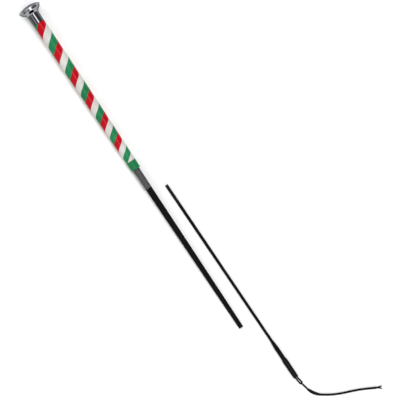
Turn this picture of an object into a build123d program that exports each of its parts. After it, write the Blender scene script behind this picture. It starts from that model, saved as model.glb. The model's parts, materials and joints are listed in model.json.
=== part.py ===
"""Riding whip in two sections, lying on a table beside each other.

Millimetres, +Z up, table top at z = 0. +X runs along the handle from its cap
to its socket, +Y towards the tip section. The origin is below the middle of
the two rigid sections. Each section is drawn along its own local X axis and
then laid on the table by the frames HANDLE and TIP.
"""

from build123d import *
import math
import os

# ---------------------------------------------------------------- general fits
GLUE = 0.02  # radial gap of a glued or wound layer
SLIP = 0.05  # gap between faces that meet end to end

# ---------------------------------------------------------------- cap
RIM_RADIUS = 16.25
RIM_ROUND = 0.9  # radius of the rolled edge
DOME_HEIGHT = 3.6
FACE_THICKNESS = 2.7  # from the rim's front plane to the back of the disc
FACE_BACK_RADIUS = 15.6
REGISTER_RADIUS = 11.0  # plug on the back of the disc
REGISTER_DEPTH = 2.0
NECK_RADIUS = 14.4  # groove behind the disc
GROOVE_END = 3.8
BELL_OUTLINE = ((3.8, 15.0), (5.0, 14.2), (6.9, 11.3))  # (x, radius) of the flare
COLLAR_START = 9.1
COLLAR_START_RADIUS = 8.35
COLLAR_END = 24.0
COLLAR_END_RADIUS = 7.95
COLLAR_WALL = 0.8
WEB_BACK = 12.2  # back of the wall that the screw holds
SCREW_HEAD_RADIUS = 3.5
SCREW_HEAD_HEIGHT = 2.2
SCREW_RADIUS = 1.9
SCREW_HOLE_PLAY = 0.2
SCREW_LENGTH = 24.0

# ---------------------------------------------------------------- grip
GRIP_STEP = 0.4  # the grip starts this much outside the collar's end
GRIP_END_RADIUS = 6.65
GRIP_BULGE = 0.77  # how far the taper stands out at its middle, as a barrel
GRIP_END = 260.1
TAPE_THICKNESS = 0.5
TAPE_GAP = 0.1
FIRST_CROSSING = 49.4  # a green edge crosses the top of the grip here
FIRST_LEAD = 40.2  # length of the first full turn of the three tapes
LEAD_RATIO = 0.951  # each turn is this much shorter
RED_STOPS_AFTER = 4.5  # turns past the first crossing, on the underside
SAMPLE_ANGLE = 15.0  # degrees between two points of a tape's edge
END_BAND_START = 247.4
END_BAND_EXTRA = 0.15  # the band stands this proud of the tapes

# ---------------------------------------------------------------- handle shaft
HANDLE_LENGTH = 517.0
COVER_THICKNESS = 0.5  # braided cover
SHAFT_END_RADIUS = 3.1
SHAFT_ROOT_RADIUS = 4.637  # beside the grip
ROD_START = 40.0  # the rod begins this far inside the grip
SLEEVE_LENGTH = 31.2  # clear film round the shaft, next to the grip
SLEEVE_PLAY = 0.083  # between the film and the shaft's thickest place
SLEEVE_FILM = 0.22
SLEEVE_FLAP = 7.2  # reach of the flap from the shaft's axis
SOCKET_LENGTH = 42.0
SOCKET_DEPTH = 34.0
SOCKET_STUB = 6.0  # the rod's stub glued into the back of the socket
SOCKET_STUB_RADIUS = 1.9
SOCKET_FLANGE = 3.0

# ---------------------------------------------------------------- tip section
SPIGOT_RADIUS = 2.15
SPIGOT_LENGTH = 30.0
SPIGOT_PLAY = 0.03  # radial clearance of the spigot in the socket
SPIGOT_END_WALL = 1.0
TIP_LENGTH = 313.0  # spigot's end to the keeper's mouth
TIP_TAPER = 0.2 / 224.0
TIP_COVER_THICKNESS = 0.38
TIP_ROD_SHORT = 13.0  # the rod ends this far inside the keeper's mouth
BINDING_BACK = 59.0  # all keeper places are measured back from the mouth
BINDING_FULL_BACK = 47.0
BINDING_RADIUS = 3.05
BINDING_END_STEP = 0.12
KEEPER_BACK = 30.0
KEEPER_FULL_BACK = (27.0, 22.0)
KEEPER_SHOULDER_RADIUS = 3.2
KEEPER_RADIUS = 3.8
KEEPER_MOUTH_RADIUS = 3.5
KEEPER_WALL = 0.48  # at its thin shoulder

# ---------------------------------------------------------------- link and lash
LOOP_CORD_RADIUS = 0.8
LOOP_HALF_WIDTH = 1.55  # between the loop's centre line and its middle
LOOP_NECK_HALF_WIDTH = 1.2
LOOP_REACH = 9.5  # keeper's mouth to the centre of the loop's round end
LOOP_SKEW = 8.0  # degrees that the loop leans towards +Y
LOOP_TAIL = 10.0  # length of the loop's legs inside the keeper
LOOP_NECK_BEND = 4.0
CORNER_EASE = 0.05  # keeps a short flat between two round corners
EYE_CORD_RADIUS = 0.6
LINK_PLAY = 0.15
EYE_LENGTH = 5.2
NECK_CORD_RADIUS = 1.0
NECK_GRIP = 1.2  # how far the neck runs into the splice
LASH_RADIUS = 1.4
SPLICE_HALF_WIDTH = 2.15
SPLICE_START = (325.4, 22.8)
SPLICE_TURN = 28.0  # degrees that the splice bends through
LASH_ROUTE = (
    (340.2, 32.6),
    (347.5, 42.8),
    (354.0, 55.6),
    (359.8, 70.6),
    (365.6, 84.4),
    (372.6, 97.4),
)
ARC_SHARE = 0.45  # share of the shorter run that each arc takes
KNOT_RADIUS = 1.75
KNOT_END_RADIUS = 1.2
KNOT_LENGTH = 4.6
TUFT_RADIUS = 0.55
TUFT_LENGTH = 7.2
TUFT_ROOT = 0.62  # sideways place of each strand at the knot
TUFT_SPREAD = 1.5  # and at its tip

# ---------------------------------------------------------------- places on the table
RIM_PLACE = (-311.0, -6.0)  # middle of the cap's rim
TIP_MOUTH_PLACE = (302.5, 18.5)  # middle of the keeper's mouth
TIP_YAW = 0.43  # degrees that the tip section points away from the handle


def handle_pitch():
    """Angle at which the rolled rim and the shaft's end both touch the table."""
    along = HANDLE_LENGTH - RIM_ROUND
    across = RIM_RADIUS - RIM_ROUND - SHAFT_END_RADIUS
    return math.atan2(across, along) + math.asin(RIM_ROUND / math.hypot(along, across))


def tip_pitch():
    """Angle at which the spigot's end and the keeper both touch the table."""
    touch = TIP_LENGTH - KEEPER_FULL_BACK[0]
    return math.atan2(KEEPER_RADIUS - SPIGOT_RADIUS, touch)


def handle_frame():
    pitch = handle_pitch()
    height = HANDLE_LENGTH * math.sin(pitch) + SHAFT_END_RADIUS * math.cos(pitch)
    return Pos(RIM_PLACE[0], RIM_PLACE[1], height) * Rot(0, math.degrees(pitch), 0)


def tip_frame():
    pitch = tip_pitch()
    reach = TIP_LENGTH * math.cos(pitch)
    yaw = math.radians(TIP_YAW)
    start_x = TIP_MOUTH_PLACE[0] - reach * math.cos(yaw)
    start_y = TIP_MOUTH_PLACE[1] - reach * math.sin(yaw)
    height = SPIGOT_RADIUS * math.cos(pitch)
    return Pos(start_x, start_y, height) * Rot(0, 0, TIP_YAW) * Rot(0, -math.degrees(pitch), 0)


HANDLE = handle_frame()
TIP = tip_frame()


def turned(*outline):
    """Solid turned about the local X axis from (x, radius) corners."""
    return revolve(make_face(Polyline(*outline, close=True)), Axis.X)


def swept_round(path, radius):
    """Round bar of one radius along a path."""
    section = Plane(origin=path @ 0, z_dir=path % 0) * Circle(radius)
    return sweep(section, path=path)


def rod_between(start, end, radius):
    """Straight round bar between two points."""
    return swept_round(Line(start, end), radius)


def shaft_radius(x):
    """Outside of the handle shaft's braided cover."""
    share = (HANDLE_LENGTH - x) / (HANDLE_LENGTH - GRIP_END)
    return SHAFT_END_RADIUS + (SHAFT_ROOT_RADIUS - SHAFT_END_RADIUS) * share


def rod_radius(x):
    return shaft_radius(x) - COVER_THICKNESS - GLUE


def tip_radius(x):
    """Outside of the tip section's braided cover."""
    return SPIGOT_RADIUS - TIP_TAPER * (x - SPIGOT_LENGTH)


def tip_rod_radius(x):
    return tip_radius(x) - TIP_COVER_THICKNESS - GLUE


def grip_radius(x):
    """Outside of the wound grip: a straight taper plus a flat parabola."""
    share = (x - COLLAR_END) / (GRIP_END - COLLAR_END)
    start = COLLAR_END_RADIUS + GRIP_STEP
    straight = start + (GRIP_END_RADIUS - start) * share
    return straight + GRIP_BULGE * 2 * share * (1 - share)


def core_radius(x):
    return grip_radius(x) - TAPE_THICKNESS - GLUE


# ---------------------------------------------------------------- cap pieces
def cap_face():
    rim_centre = RIM_RADIUS - RIM_ROUND
    diagonal = RIM_ROUND * math.sqrt(0.5)
    rim_end = (RIM_ROUND + diagonal, rim_centre + diagonal)
    plug_end = FACE_THICKNESS + REGISTER_DEPTH
    dome = TangentArc((-DOME_HEIGHT, 0), (0, rim_centre), tangent=(0, 1))
    rim = ThreePointArc((0, rim_centre), (RIM_ROUND, RIM_RADIUS), rim_end)
    back = Polyline(
        rim_end,
        (FACE_THICKNESS, FACE_BACK_RADIUS),
        (FACE_THICKNESS, REGISTER_RADIUS),
        (plug_end, REGISTER_RADIUS),
        (plug_end, 0),
        (-DOME_HEIGHT, 0),
    )
    return revolve(make_face(Curve() + dome + rim + back), Axis.X)


def cap_socket():
    front = FACE_THICKNESS + SLIP
    recess = front + REGISTER_DEPTH
    head_seat = recess + SCREW_HEAD_HEIGHT + SLIP
    hole = SCREW_RADIUS + SCREW_HOLE_PLAY
    head_bore = SCREW_HEAD_RADIUS + SCREW_HOLE_PLAY
    bore = COLLAR_END_RADIUS - COLLAR_WALL
    return turned(
        (front, REGISTER_RADIUS + GLUE),
        (front, NECK_RADIUS),
        (GROOVE_END, NECK_RADIUS),
        *BELL_OUTLINE,
        (COLLAR_START, COLLAR_START_RADIUS),
        (COLLAR_END, COLLAR_END_RADIUS),
        (COLLAR_END, bore),
        (WEB_BACK, bore),
        (WEB_BACK, hole),
        (head_seat, hole),
        (head_seat, head_bore),
        (recess, head_bore),
        (recess, REGISTER_RADIUS + GLUE),
    )


def screw_seat():
    """Where the screw's head bears on the cap's wall."""
    return FACE_THICKNESS + REGISTER_DEPTH + SCREW_HEAD_HEIGHT + 2 * SLIP


def cap_screw():
    seat = screw_seat()
    head = turned((seat - SCREW_HEAD_HEIGHT, 0), (seat - SCREW_HEAD_HEIGHT, SCREW_HEAD_RADIUS),
                  (seat, SCREW_HEAD_RADIUS), (seat, 0))
    shank = turned((seat, 0), (seat, SCREW_RADIUS), (seat + SCREW_LENGTH, SCREW_RADIUS),
                   (seat + SCREW_LENGTH, 0))
    return head + shank


# ---------------------------------------------------------------- grip pieces
def grip_core():
    """Moulded core: plugs into the collar, holds the screw and the rod."""
    front = WEB_BACK + SLIP
    shoulder = COLLAR_END + SLIP
    plug = COLLAR_END_RADIUS - COLLAR_WALL - GLUE
    pilot = SCREW_RADIUS + GLUE
    pilot_end = screw_seat() + SCREW_LENGTH + SLIP
    bore = rod_radius(GRIP_END) + GLUE
    start = (shoulder, core_radius(COLLAR_END))
    end = (GRIP_END, core_radius(GRIP_END))
    middle = ((shoulder + GRIP_END) / 2, (start[1] + end[1]) / 2 + GRIP_BULGE)
    outside = Bezier(start, middle, end)
    rest = Polyline(
        end,
        (GRIP_END, bore),
        (ROD_START, bore),
        (ROD_START, 0),
        (pilot_end, 0),
        (pilot_end, pilot),
        (front, pilot),
        (front, plug),
        (shoulder, plug),
        start,
    )
    return revolve(make_face(Curve() + outside + rest), Axis.X)


def crossing(turns):
    """Place along the grip where a tape's edge lies after some turns."""
    return FIRST_CROSSING + FIRST_LEAD * (1 - LEAD_RATIO**turns) / (1 - LEAD_RATIO)


def turns_at(x):
    """The inverse of crossing."""
    rest = 1 - (x - FIRST_CROSSING) * (1 - LEAD_RATIO) / FIRST_LEAD
    return math.log(rest) / math.log(LEAD_RATIO)


def edge_angle(share, x):
    """Angle, from the +Y side over the top, at which the edge at a share of the lead meets x."""
    return 90 + 360 * (turns_at(x) - share)


def edge_line(share, angles, low, high, lift):
    """Edge of a tape as a smooth curve, clipped to the taped length."""
    points = []
    for angle in angles:
        x = min(max(crossing(share + (angle - 90) / 360), low), high)
        radius = core_radius(x) + GLUE + lift
        turn = math.radians(angle)
        points.append((x, radius * math.cos(turn), radius * math.sin(turn)))
    return Edge.make_spline(points, parameters=[i / (len(points) - 1) for i in range(len(points))])


def tape_span(first, last, start, end, low, high):
    """The four long edges of one stretch: inner and outer, at both sides of the tape."""
    steps = max(4, math.ceil((end - start) / SAMPLE_ANGLE))
    angles = [start + (end - start) * i / steps for i in range(steps + 1)]
    return [
        edge_line(share, angles, low, high, lift)
        for share, lift in ((first, 0), (first, TAPE_THICKNESS), (last, TAPE_THICKNESS), (last, 0))
    ]


def tape_end(edges, place):
    corners = [edge @ place for edge in edges]
    return Face(Wire([Edge.make_line(corners[i - 1], corners[i]) for i in range(4)]))


def tape(first, last, low, high, start=None, end=None):
    """Tape wound on the core between two shares of the lead, from low to high."""
    gap = TAPE_GAP / FIRST_LEAD / 2
    first, last = first + gap, last - gap
    begin = edge_angle(last, low + 3 * TAPE_GAP) if start is None else start
    finish = edge_angle(first, high - 3 * TAPE_GAP) if end is None else end
    breaks = [begin, edge_angle(first, low), edge_angle(last, high), finish]
    breaks = sorted(angle for angle in breaks if begin <= angle <= finish)
    spans = [tape_span(first, last, a, b, low, high) for a, b in zip(breaks, breaks[1:])]
    faces = [tape_end(spans[0], 0), tape_end(spans[-1], 1)]
    for edges in spans:
        faces += [Face.make_surface_from_curves(edges[i - 1], edges[i]) for i in range(4)]
    return Solid(Shell(faces))


TAPE_LOW = COLLAR_END + SLIP
TAPE_HIGH = END_BAND_START - SLIP
RED_END_ANGLE = 90 + 360 * RED_STOPS_AFTER


def grip_tape_green():
    return tape(0, 1 / 3, TAPE_LOW, TAPE_HIGH)


def grip_tape_red():
    return tape(1 / 3, 2 / 3, TAPE_LOW, TAPE_HIGH, end=RED_END_ANGLE)


def grip_tape_white():
    return tape(2 / 3, 1, TAPE_LOW, TAPE_HIGH)


def grip_tape_white_lap():
    """Second white tape, laid where the red one stops."""
    past_red = RED_END_ANGLE + math.degrees(TAPE_GAP / GRIP_END_RADIUS)
    return tape(1 / 3, 2 / 3, TAPE_LOW, TAPE_HIGH, start=past_red)


def grip_end_band():
    inner = [(x, core_radius(x) + GLUE) for x in (END_BAND_START, GRIP_END)]
    outer = [(x, grip_radius(x) + END_BAND_EXTRA) for x in (GRIP_END, END_BAND_START)]
    return turned(*inner, *outer)


# ---------------------------------------------------------------- handle shaft pieces
def shaft_rod():
    """Fibreglass rod: straight in the grip, tapered to the socket, with a stub."""
    socket_start = HANDLE_LENGTH - SOCKET_LENGTH
    stub_end = socket_start + SOCKET_STUB
    return turned(
        (ROD_START + SLIP, 0),
        (ROD_START + SLIP, rod_radius(GRIP_END)),
        (GRIP_END, rod_radius(GRIP_END)),
        (socket_start, rod_radius(socket_start)),
        (socket_start, SOCKET_STUB_RADIUS),
        (stub_end, SOCKET_STUB_RADIUS),
        (stub_end, 0),
    )


def shaft_cover():
    """Braided cover from the grip to the socket's flange."""
    start = GRIP_END + SLIP
    end = HANDLE_LENGTH - SOCKET_FLANGE - SLIP
    return turned(
        (start, shaft_radius(start) - COVER_THICKNESS),
        (start, shaft_radius(start)),
        (end, shaft_radius(end)),
        (end, shaft_radius(end) - COVER_THICKNESS),
    )


def film_outline(radius, flap_radius, reach):
    """Teardrop round the shaft, drawn out to the flap on the -Y side."""
    ring = Circle(radius).edges()
    flap = (Pos(-reach, 0) * Circle(flap_radius)).edges()
    return make_hull(ring + flap)


def clear_sleeve():
    """Clear film folded round the shaft, its two ends joined in a flap."""
    radius = shaft_radius(GRIP_END) + SLEEVE_PLAY
    inside = film_outline(radius, GLUE, SLEEVE_FLAP - 4 * SLEEVE_FILM)
    outside = film_outline(radius + SLEEVE_FILM, SLEEVE_FILM, SLEEVE_FLAP - SLEEVE_FILM)
    place = Plane(origin=(GRIP_END + SLIP, 0, 0), x_dir=(0, 1, 0), z_dir=(1, 0, 0))
    section = place * (outside - inside)
    return extrude(section, amount=SLEEVE_LENGTH)


def socket_tube():
    """Metal socket at the shaft's end, flanged over the braid's cut edge."""
    start = HANDLE_LENGTH - SOCKET_LENGTH + SLIP
    flange = HANDLE_LENGTH - SOCKET_FLANGE
    floor = HANDLE_LENGTH - SOCKET_DEPTH
    stub = SOCKET_STUB_RADIUS + GLUE
    stub_end = HANDLE_LENGTH - SOCKET_LENGTH + SOCKET_STUB + SLIP
    bore = SPIGOT_RADIUS + SPIGOT_PLAY
    return turned(
        (start, stub),
        (start, rod_radius(start)),
        (flange, rod_radius(flange)),
        (flange, SHAFT_END_RADIUS),
        (HANDLE_LENGTH, SHAFT_END_RADIUS),
        (HANDLE_LENGTH, bore),
        (floor, bore),
        (floor, 0),
        (stub_end, 0),
        (stub_end, stub),
    )


# ---------------------------------------------------------------- tip section pieces
def spigot_sleeve():
    """Metal thimble glued over the rod's end, which plugs into the socket."""
    bore = tip_rod_radius(SPIGOT_LENGTH) + GLUE
    return turned(
        (0, 0),
        (0, SPIGOT_RADIUS),
        (SPIGOT_LENGTH, SPIGOT_RADIUS),
        (SPIGOT_LENGTH, bore),
        (SPIGOT_END_WALL, bore),
        (SPIGOT_END_WALL, 0),
    )


def tip_rod():
    """Fibreglass rod: straight in the thimble, then tapered into the keeper."""
    start = SPIGOT_END_WALL + SLIP
    end = TIP_LENGTH - TIP_ROD_SHORT
    return turned(
        (start, 0),
        (start, tip_rod_radius(SPIGOT_LENGTH)),
        (SPIGOT_LENGTH, tip_rod_radius(SPIGOT_LENGTH)),
        (end, tip_rod_radius(end)),
        (end, 0),
    )


def tip_cover():
    start = SPIGOT_LENGTH + SLIP
    end = TIP_LENGTH - KEEPER_BACK
    return turned(
        (start, tip_radius(start) - TIP_COVER_THICKNESS),
        (start, tip_radius(start)),
        (end, tip_radius(end)),
        (end, tip_radius(end) - TIP_COVER_THICKNESS),
    )


def keeper_binding():
    """Thread whipping that builds up from the shaft to the keeper."""
    start = TIP_LENGTH - BINDING_BACK
    full = TIP_LENGTH - BINDING_FULL_BACK
    end = TIP_LENGTH - KEEPER_BACK
    return turned(
        (start, tip_radius(start) + GLUE),
        (start, tip_radius(start) + BINDING_END_STEP),
        (full, BINDING_RADIUS),
        (end, BINDING_RADIUS),
        (end, tip_radius(end) + GLUE),
    )


def keeper_bore():
    return KEEPER_SHOULDER_RADIUS - KEEPER_WALL


def keeper_sleeve():
    start = TIP_LENGTH - KEEPER_BACK + SLIP
    full_start = TIP_LENGTH - KEEPER_FULL_BACK[0]
    full_end = TIP_LENGTH - KEEPER_FULL_BACK[1]
    return turned(
        (start, keeper_bore()),
        (start, KEEPER_SHOULDER_RADIUS),
        (full_start, KEEPER_RADIUS),
        (full_end, KEEPER_RADIUS),
        (TIP_LENGTH, KEEPER_MOUTH_RADIUS),
        (TIP_LENGTH, keeper_bore()),
    )


def loop_centre():
    """Middle of the loop's round end, in the tip section's own frame."""
    skew = math.radians(LOOP_SKEW)
    return TIP_LENGTH + LOOP_REACH * math.cos(skew), LOOP_REACH * math.sin(skew)


def loop_path():
    """Centre line of the loop: two legs in the keeper, then a round-ended eye."""
    skew = math.radians(LOOP_SKEW)
    along = (math.cos(skew), math.sin(skew))
    centre = loop_centre()
    corner = LOOP_HALF_WIDTH - CORNER_EASE
    far = [
        (
            centre[0] + LOOP_HALF_WIDTH * (along[0] - side * along[1]),
            centre[1] + LOOP_HALF_WIDTH * (along[1] + side * along[0]),
        )
        for side in (1, -1)
    ]
    return FilletPolyline(
        (TIP_LENGTH - LOOP_TAIL, LOOP_NECK_HALF_WIDTH),
        (TIP_LENGTH, LOOP_NECK_HALF_WIDTH),
        *far,
        (TIP_LENGTH, -LOOP_NECK_HALF_WIDTH),
        (TIP_LENGTH - LOOP_TAIL, -LOOP_NECK_HALF_WIDTH),
        radius=(LOOP_NECK_BEND, corner, corner, LOOP_NECK_BEND),
    )


def keeper_loop():
    return swept_round(loop_path(), LOOP_CORD_RADIUS)


def keeper_filler():
    """Resin that fills the keeper and holds the rod's end and the loop's legs."""
    start = TIP_LENGTH - KEEPER_BACK + 2 * SLIP
    rod_end = TIP_LENGTH - TIP_ROD_SHORT
    body = turned(
        (start, tip_rod_radius(start) + GLUE),
        (start, keeper_bore() - GLUE),
        (TIP_LENGTH - SLIP, keeper_bore() - GLUE),
        (TIP_LENGTH - SLIP, 0),
        (rod_end + SLIP, 0),
        (rod_end + SLIP, tip_rod_radius(rod_end) + GLUE),
    )
    for side in (1, -1):
        leg_start = (TIP_LENGTH - LOOP_TAIL - SLIP, side * LOOP_NECK_HALF_WIDTH)
        leg_end = (TIP_LENGTH + LOOP_TAIL, side * LOOP_NECK_HALF_WIDTH)
        body -= rod_between(leg_start, leg_end, LOOP_CORD_RADIUS + GLUE)
    return body


# ---------------------------------------------------------------- lash pieces
def link_point():
    """Where the lash swings on the keeper's loop, on the table's axes."""
    x, y = loop_centre()
    return (TIP * Pos(x, y, 0)).position


def heading(start, end):
    """Level unit vector from one point towards another."""
    step = Vector(end) - Vector(start)
    return Vector(step.X, step.Y).normalized()


def lash_eye():
    """Upright eye through the loop, and the thin neck down to the splice."""
    link = link_point()
    out = heading(link, SPLICE_START)
    rise = LOOP_CORD_RADIUS + LINK_PLAY + EYE_CORD_RADIUS
    up = Vector(0, 0, rise)
    far = link + out * EYE_LENGTH
    corners = (link - up, far - up, far + up, link + up)
    outline = FilletPolyline(*corners, radius=rise - CORNER_EASE, close=True)
    eye = swept_round(outline, EYE_CORD_RADIUS)
    splice = Vector(*SPLICE_START, LASH_RADIUS)
    neck_end = splice + (splice - far).normalized() * NECK_GRIP
    return eye + rod_between(far, neck_end, NECK_CORD_RADIUS)


def lash_splice():
    """The lash doubled back on itself and bound: flat, wide and gently bent."""
    start = Vector(*SPLICE_START, LASH_RADIUS)
    end = Vector(*LASH_ROUTE[0], LASH_RADIUS)
    chord = end - start
    half_turn = math.radians(SPLICE_TURN / 2)
    bend = chord.length / (2 * math.sin(half_turn))
    side = Vector(-chord.Y, chord.X).normalized()
    centre = start + chord * 0.5 + side * (bend * math.cos(half_turn))
    outward = (start - centre).normalized()
    section = Plane(origin=start, x_dir=outward, z_dir=outward.cross(Vector(0, 0, -1)))
    face = section * Ellipse(SPLICE_HALF_WIDTH, LASH_RADIUS)
    return revolve(face, Axis(centre, (0, 0, 1)), SPLICE_TURN)


def route_radii(route):
    """The largest arc that each corner's two runs allow."""
    radii = []
    for before, here, after in zip(route, route[1:], route[2:]):
        turn = heading(before, here).get_angle(heading(here, after))
        run = min(math.dist(before, here), math.dist(here, after))
        radii.append(ARC_SHARE * run / math.tan(math.radians(turn / 2)))
    return radii


def lash_cord():
    radii = route_radii(LASH_ROUTE)
    points = [(x, y, LASH_RADIUS) for x, y in LASH_ROUTE]
    path = FilletPolyline(*points, radius=radii)
    cord = swept_round(path, LASH_RADIUS)
    expected = math.pi * LASH_RADIUS**2 * path.length
    print("lash radii", [round(radius, 1) for radius in radii])
    print("lash length", round(path.length, 1), "volume", round(cord.volume, 1), "of", round(expected, 1))
    return cord


def lash_end():
    """Place and heading of the lash's end, at the knot's own height."""
    out = heading(LASH_ROUTE[-2], LASH_ROUTE[-1])
    return Vector(*LASH_ROUTE[-1], KNOT_RADIUS), out


def lash_knot():
    start, out = lash_end()
    waist = KNOT_LENGTH / 4
    body = turned(
        (SLIP, 0),
        (SLIP, KNOT_END_RADIUS),
        (waist, KNOT_RADIUS),
        (KNOT_LENGTH - waist, KNOT_RADIUS),
        (KNOT_LENGTH, KNOT_END_RADIUS),
        (KNOT_LENGTH, 0),
    )
    return Plane(origin=start, x_dir=out, z_dir=(0, 0, 1)).location * body


def lash_tuft():
    """Two loose strands beyond the knot, spread like a fish's tail."""
    start, out = lash_end()
    side = Vector(-out.Y, out.X)
    root = start + out * (KNOT_LENGTH + 4 * SLIP)
    strands = []
    for hand in (1, -1):
        tip = root + out * TUFT_LENGTH + side * (hand * TUFT_SPREAD)
        tip = Vector(tip.X, tip.Y, TUFT_RADIUS * 1.1)
        strands.append(rod_between(root + side * (hand * TUFT_ROOT), tip, TUFT_RADIUS))
    return Compound(children=strands)


HANDLE_PIECES = (
    cap_face,
    cap_socket,
    cap_screw,
    grip_core,
    grip_tape_green,
    grip_tape_red,
    grip_tape_white,
    grip_tape_white_lap,
    grip_end_band,
    shaft_rod,
    shaft_cover,
    clear_sleeve,
    socket_tube,
)
TIP_PIECES = (
    spigot_sleeve,
    tip_rod,
    tip_cover,
    keeper_binding,
    keeper_sleeve,
    keeper_filler,
    keeper_loop,
)
LASH_PIECES = (lash_eye, lash_splice, lash_cord, lash_knot, lash_tuft)


def write(pieces, frame):
    for piece in pieces:
        export_step(frame * piece(), f"parts/{piece.__name__}.step")


os.makedirs("parts", exist_ok=True)
write(HANDLE_PIECES, HANDLE)
write(TIP_PIECES, TIP)
write(LASH_PIECES, Pos(0, 0, 0))
print("socket mouth", (HANDLE * Pos(HANDLE_LENGTH, 0, 0)).position, "pitch", math.degrees(handle_pitch()))
print("spigot end", TIP.position, "pitch", math.degrees(tip_pitch()))
print("lash link", link_point())
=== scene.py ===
# %% [markdown]
# # A riding whip in two sections
#
# The whip lies on a pale table in two pieces. The handle section has a chromed
# mushroom cap, a grip wound with three coloured tapes and a tapered shaft in a
# braided cover. The thinner tip section ends in a keeper, and a short plaited
# lash swings on the keeper's loop.
#
# The frame is the engineer's model. It holds every size, place and joint, and
# nothing here moves it. We build the visible skin of each piece round it.

# %% The frame
import json
import math
import bmesh
import bpy
from mathutils import Matrix, Vector


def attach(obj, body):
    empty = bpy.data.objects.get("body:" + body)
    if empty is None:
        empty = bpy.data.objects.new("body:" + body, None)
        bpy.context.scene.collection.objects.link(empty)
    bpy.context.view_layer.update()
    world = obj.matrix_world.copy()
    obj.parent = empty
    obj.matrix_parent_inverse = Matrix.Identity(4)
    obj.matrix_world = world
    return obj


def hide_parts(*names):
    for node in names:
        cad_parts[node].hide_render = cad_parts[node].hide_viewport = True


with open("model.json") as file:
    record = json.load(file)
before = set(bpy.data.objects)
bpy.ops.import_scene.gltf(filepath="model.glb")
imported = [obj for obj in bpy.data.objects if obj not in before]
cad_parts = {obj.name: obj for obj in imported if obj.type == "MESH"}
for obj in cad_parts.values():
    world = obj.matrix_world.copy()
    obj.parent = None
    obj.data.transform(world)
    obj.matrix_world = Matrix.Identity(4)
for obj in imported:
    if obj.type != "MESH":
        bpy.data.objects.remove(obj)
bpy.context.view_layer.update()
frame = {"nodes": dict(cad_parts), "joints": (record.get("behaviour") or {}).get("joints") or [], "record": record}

MM = 0.001

# %% [markdown]
# ## Two working axes
#
# Both sections are turned work: everything on them is round about one long
# axis. It is easiest to shape a piece along its own X axis and then lay it on
# the table. The socket and the spigot are the two ends that fit each other, so
# their mounts say exactly where each axis runs.

# %% Handle and tip axes
HANDLE_LENGTH = 517.0
TIP_LENGTH = 313.0


def mount(name):
    """The record's facts about one mount."""
    return next(m for m in frame["record"]["mounts"] if m["name"] == name)


def axis_frame(start, along):
    """Matrix that lays a piece drawn along X, in millimetres, on its place in metres."""
    along = Vector(along).normalized()
    across = Vector((0, 0, 1)).cross(along).normalized()
    up = along.cross(across)
    turn = Matrix((along, across, up)).transposed().to_4x4()
    return Matrix.Translation(start) @ turn @ Matrix.Scale(MM, 4)


def mount_end(name):
    """The free end of a round mount: half its length from its middle, along its axis."""
    facts = mount(name)
    axis = Vector(facts["axis"]).normalized()
    return Vector(facts["pos_m"]) + axis * facts["dims"]["length_mm"] / 2 * MM, axis


socket_mouth, socket_axis = mount_end("socket")
spigot_end, spigot_axis = mount_end("spigot")
HANDLE = axis_frame(socket_mouth - socket_axis * HANDLE_LENGTH * MM, socket_axis)
TIP = axis_frame(spigot_end, -spigot_axis)
LINK = Vector(next(j for j in frame["joints"] if j["name"] == "lash_swing")["pos_m"])
print("cap rim at", HANDLE.translation, "spigot end at", TIP.translation)

# %% [markdown]
# ## The cord's route
#
# The lash is a free cord, so its line comes first. It is one smooth spline with
# a few given points, the same points the engineer used. It lies flat,
# so the points are half its thickness above the table.

# %% Route of the lash
LASH_DIAMETER = 2.8
SPLICE_START = (325.4, 22.8)
LASH_ROUTE = (
    (340.2, 32.6),
    (347.5, 42.8),
    (354.0, 55.6),
    (359.8, 70.6),
    (365.6, 84.4),
    (372.6, 97.4),
)


def spline_points(route, height):
    """Points read from a smooth spline whose control points are the route, in metres."""
    data = bpy.data.curves.new("route", "CURVE")
    data.dimensions = "3D"
    data.resolution_u = 24
    line = data.splines.new("NURBS")
    line.points.add(len(route) - 1)
    for point, (x, y) in zip(line.points, route):
        point.co = (x * MM, y * MM, height * MM, 1)
    line.order_u = 3
    line.use_endpoint_u = True
    holder = bpy.data.objects.new("route", data)
    bpy.context.scene.collection.objects.link(holder)
    evaluated = holder.evaluated_get(bpy.context.evaluated_depsgraph_get())
    mesh = bpy.data.meshes.new_from_object(evaluated)
    points = [v.co.copy() for v in mesh.vertices]
    bpy.data.objects.remove(holder)
    bpy.data.curves.remove(data)
    bpy.data.meshes.remove(mesh)
    return points


lash_line = spline_points(LASH_ROUTE, LASH_DIAMETER / 2)

# %% [markdown]
# ## The camera
#
# The camera looks straight down with a long lens, which keeps the two sections
# parallel. A short lens close by would lean the tall cap outwards. The camera
# is turned so that the handle runs from the upper left corner down to the
# right. Its height follows from the lens and the width that it has to see.

# %% Camera
LENS = 300.0
SENSOR = 36.0
FIELD = 0.5392
FIELD_LEVEL = 0.010
VIEW_CENTRE = (0.0315, 0.04285)
VIEW_TURN = 56.39

camera = bpy.data.objects.new("camera", bpy.data.cameras.new("camera"))
camera.data.lens = LENS
camera.data.sensor_width = SENSOR
camera.location = (*VIEW_CENTRE, FIELD_LEVEL + FIELD * LENS / SENSOR)
camera.rotation_euler = (0, 0, math.radians(VIEW_TURN))
camera.data.clip_end = 20
bpy.context.scene.collection.objects.link(camera)
bpy.context.scene.camera = camera
print("camera height:", round(camera.location.z, 3), "m")

# %% [markdown]
# ## Small helpers
#
# A material is a chain of shader nodes, so one function adds a node with its
# settings and links. Colours are written as the hex values a painter would
# read off a chart, and one function turns them into the linear light values
# that the renderer needs.

# %% Colour and node helpers
def linear(code):
    """Hex sRGB colour to linear RGBA."""
    parts = [int(code[i:i + 2], 16) / 255 for i in (1, 3, 5)]
    return (*[c / 12.92 if c <= 0.04045 else ((c + 0.055) / 1.055) ** 2.4 for c in parts], 1)


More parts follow.
